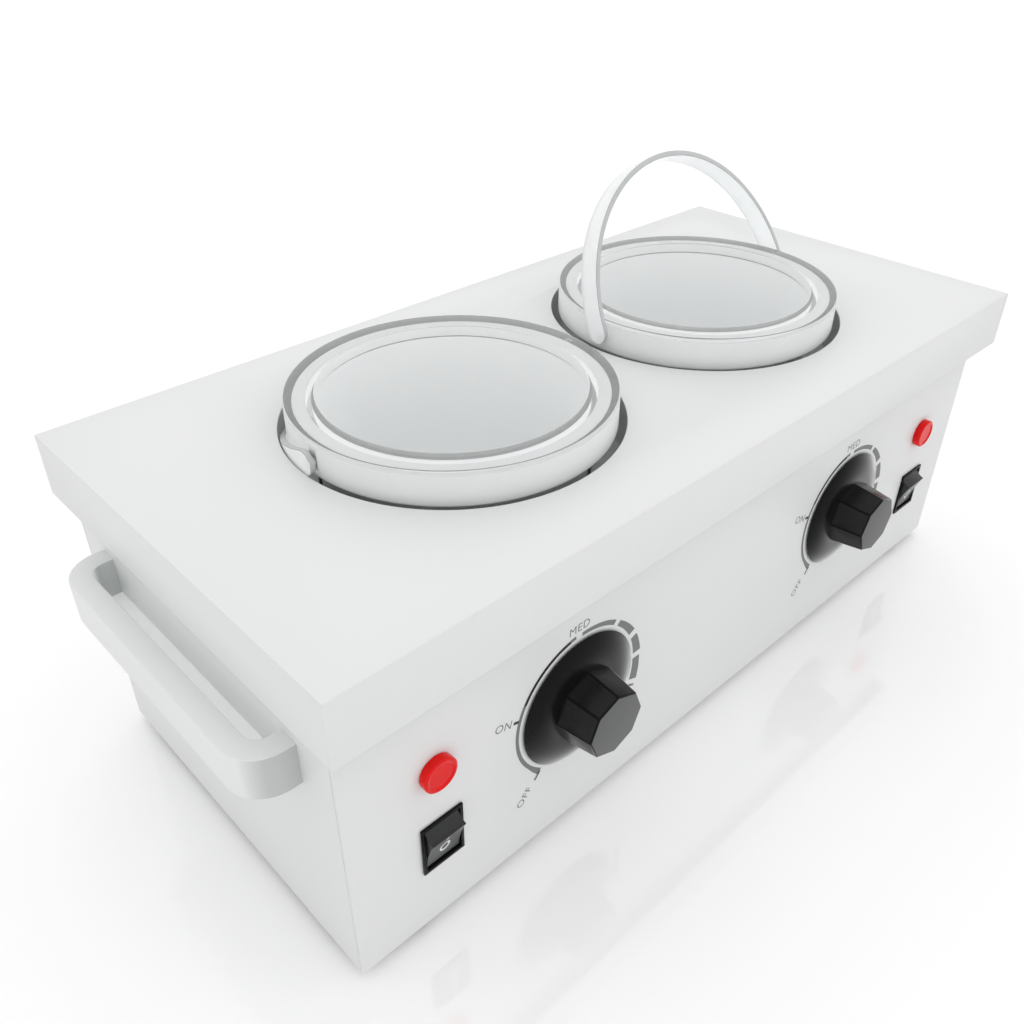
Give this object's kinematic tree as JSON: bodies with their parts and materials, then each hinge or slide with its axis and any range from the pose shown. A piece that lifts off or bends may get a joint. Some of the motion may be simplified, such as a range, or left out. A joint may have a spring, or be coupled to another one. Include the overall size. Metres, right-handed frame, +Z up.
{
  "type": "double wax warmer",
  "caption": "Wax warmer: a white sheet metal case with lift-out pots and swinging bails in heated wells, and a thermostat knob, lamp and rocker switch for each pot.",
  "frame": {"origin": "centre of the underside of the whole object, on the table it stands on", "axes": "+X along the case to the right as seen from the control side, -Y towards the user at the control side, +Z up"},
  "size_m": [0.3846, 0.188, 0.1903],
  "materials": {
    "white_paint": "smooth semi-gloss white paint on sheet steel",
    "white_plastic": "smooth moulded white plastic",
    "frosted_plastic": "frosted, slightly translucent plastic",
    "can_metal": "thin drawn aluminium, satin",
    "well_metal": "satin anodised",
    "black_plastic": "glossy black plastic",
    "red_lens": "clear red plastic",
    "zinc_steel": "zinc-plated steel",
    "heater_steel": "dull stainless sheet",
    "foot_rubber": "matte rubber",
    "cream_ceramic": "unglazed ceramic",
    "lead_sleeve": "woven glass sleeve"
  },
  "bodies": {
    "housing": {"front_panel": "white_paint", "rear_panel": "white_paint", "left_end_panel": "white_paint", "right_end_panel": "white_paint", "base_plate": "zinc_steel", "top_cover": "white_paint", "cover_nut_1": "zinc_steel", "cover_nut_2": "zinc_steel", "cover_nut_3": "zinc_steel", "cover_nut_4": "zinc_steel", "foot_1": "foot_rubber", "foot_2": "foot_rubber", "foot_3": "foot_rubber", "foot_4": "foot_rubber", "base_screw_1": "zinc_steel", "base_screw_2": "zinc_steel", "base_screw_3": "zinc_steel", "base_screw_4": "zinc_steel", "handle_left": "white_plastic", "handle_right": "white_plastic", "handle_screw_left_1": "zinc_steel", "handle_screw_left_2": "zinc_steel", "handle_screw_right_1": "zinc_steel", "handle_screw_right_2": "zinc_steel", "heating_well_left": "well_metal", "heating_well_right": "well_metal", "heater_band_left": "heater_steel", "heater_band_right": "heater_steel", "thermal_cutout_left": "cream_ceramic", "thermal_cutout_right": "cream_ceramic", "thermostat_left": "well_metal", "thermostat_right": "well_metal", "thermostat_nut_left": "zinc_steel", "thermostat_nut_right": "zinc_steel", "lamp_lens_left": "red_lens", "lamp_lens_right": "red_lens", "lamp_body_left": "white_plastic", "lamp_body_right": "white_plastic", "switch_body_left": "black_plastic", "switch_body_right": "black_plastic", "cable_gland": "black_plastic", "gland_nut": "black_plastic", "terminal_block": "cream_ceramic", "switch_lead_left": "lead_sleeve", "switch_lead_right": "lead_sleeve", "heater_lead_left": "lead_sleeve", "heater_lead_right": "lead_sleeve"},
    "pot_left": {"pot_can_left": "can_metal", "pot_collar_left": "frosted_plastic"},
    "pot_right": {"pot_can_right": "can_metal", "pot_collar_right": "frosted_plastic"},
    "bail_left": {"bail_left": "frosted_plastic"},
    "bail_right": {"bail_right": "frosted_plastic"},
    "knob_left": {"knob_left": "black_plastic", "knob_spindle_left": "zinc_steel"},
    "knob_right": {"knob_right": "black_plastic", "knob_spindle_right": "zinc_steel"},
    "rocker_left": {"rocker_left": "black_plastic"},
    "rocker_right": {"rocker_right": "black_plastic"}
  },
  "joints": [
    {"name": "pot_left_lift", "type": "slide", "parent": "housing", "child": "pot_left", "axis": [0, 0, 1], "range_m": [0, 0.095]},
    {"name": "pot_right_lift", "type": "slide", "parent": "housing", "child": "pot_right", "axis": [0, 0, 1], "range_m": [0, 0.095]},
    {"name": "bail_left_swing", "type": "hinge", "parent": "pot_left", "child": "bail_left", "pos_m": [-0.067, 0.0008, 0.135], "axis": [1, 0, 0], "range_deg": [0, 220]},
    {"name": "bail_right_swing", "type": "hinge", "parent": "pot_right", "child": "bail_right", "pos_m": [0.067, 0.0008, 0.135], "axis": [1, 0, 0], "range_deg": [-82.5, 137.5]},
    {"name": "knob_left_turn", "type": "hinge", "parent": "housing", "child": "knob_left", "pos_m": [-0.0816, -0.0767, 0.059], "axis": [0, 1, 0], "range_deg": [0, 257.5]},
    {"name": "knob_right_turn", "type": "hinge", "parent": "housing", "child": "knob_right", "pos_m": [0.0816, -0.0767, 0.059], "axis": [0, 1, 0], "range_deg": [0, 257.5]},
    {"name": "rocker_left_press", "type": "hinge", "parent": "housing", "child": "rocker_left", "pos_m": [-0.14185, -0.0737, 0.0396], "axis": [-1, 0, 0], "range_deg": [0, 28]},
    {"name": "rocker_right_press", "type": "hinge", "parent": "housing", "child": "rocker_right", "pos_m": [0.1466, -0.0737, 0.0396], "axis": [-1, 0, 0], "range_deg": [0, 28]}
  ]
}
